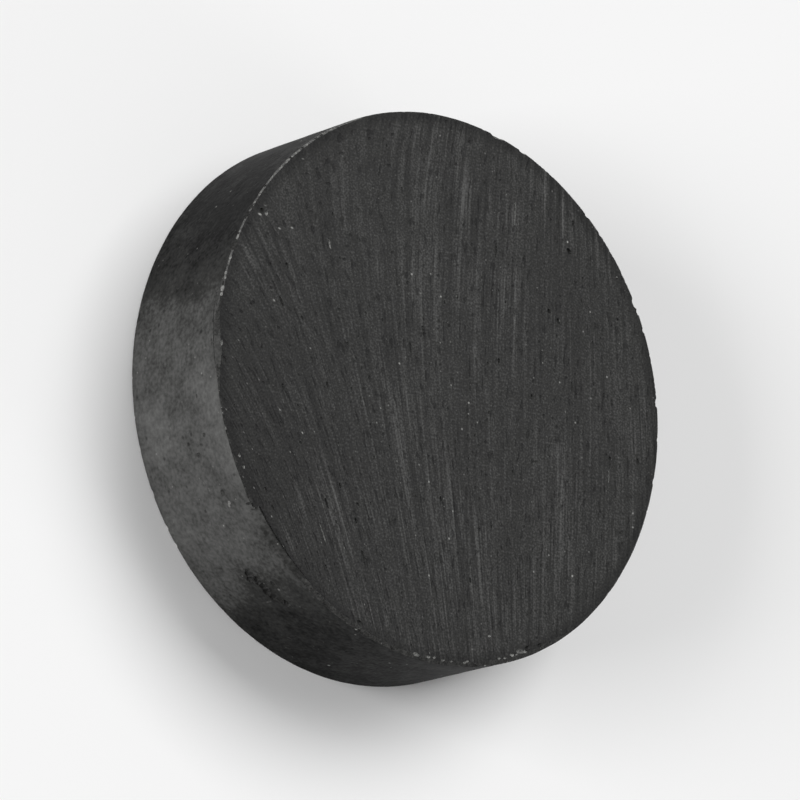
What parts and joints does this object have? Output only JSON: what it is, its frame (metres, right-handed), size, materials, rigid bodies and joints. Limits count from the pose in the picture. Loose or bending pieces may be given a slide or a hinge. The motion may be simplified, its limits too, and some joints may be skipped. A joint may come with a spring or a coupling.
{
  "type": "disc magnet",
  "caption": "Flat round magnet of dark sintered ferrite, with ground faces, a fired rim and chipped edges, for holding and latching.",
  "frame": {"origin": "centre of the lower ground face, on the surface that the disc lies on", "axes": "+Z along the disc's axis, out of the upper ground face; +X and +Y in the plane of the faces, with the long flake of the upper edge at -X"},
  "size_m": [0.02, 0.02, 0.005],
  "materials": {
    "ferrite": "dark grey sintered ferrite, ground on both faces and as fired on the rim, unglazed"
  },
  "bodies": {
    "root": {"ferrite_disc": "ferrite"}
  },
  "joints": []
}
